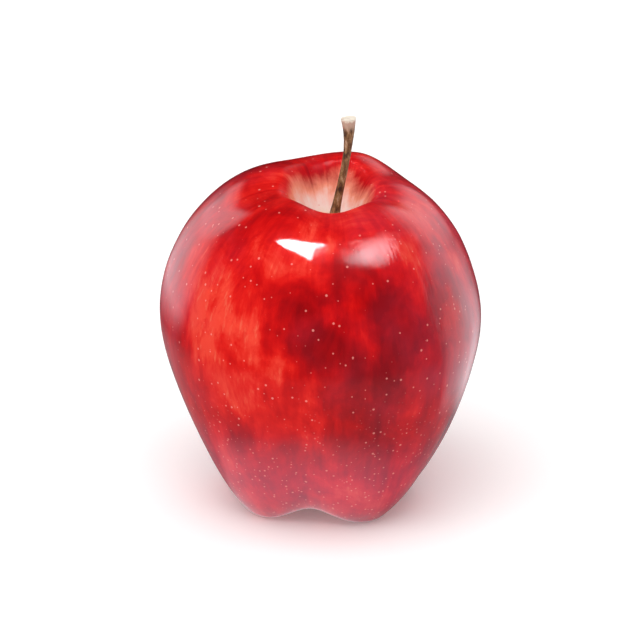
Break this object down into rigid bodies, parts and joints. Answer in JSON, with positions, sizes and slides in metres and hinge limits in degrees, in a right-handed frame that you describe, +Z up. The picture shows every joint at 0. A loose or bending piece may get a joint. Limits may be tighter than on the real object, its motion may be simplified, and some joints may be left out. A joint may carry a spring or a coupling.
{
  "type": "apple",
  "caption": "Tall red apple with a lobed base, a curved woody stem in a deep cavity and dried sepals in the basin below; it stands upright on its lobes.",
  "frame": {"origin": "on the ground, under the middle of the apple's box", "axes": "+Z up along the core, from the feet of the lobes to the stem; -Y is the front, +X to the right of it"},
  "size_m": [0.08, 0.0796, 0.0998],
  "materials": {
    "skin": "waxy, glossy, streaked deep red to orange-red, with pale dots and a cream stem cavity",
    "stem": "dry matt brown bark, mottled, with a pale cut end",
    "calyx": "dry matt grey-brown, papery and downy"
  },
  "bodies": {
    "root": {"fruit": "skin", "stem": "stem", "sepal_1": "calyx", "sepal_2": "calyx", "sepal_3": "calyx", "sepal_4": "calyx", "sepal_5": "calyx", "stamen_tuft": "calyx"}
  },
  "joints": []
}
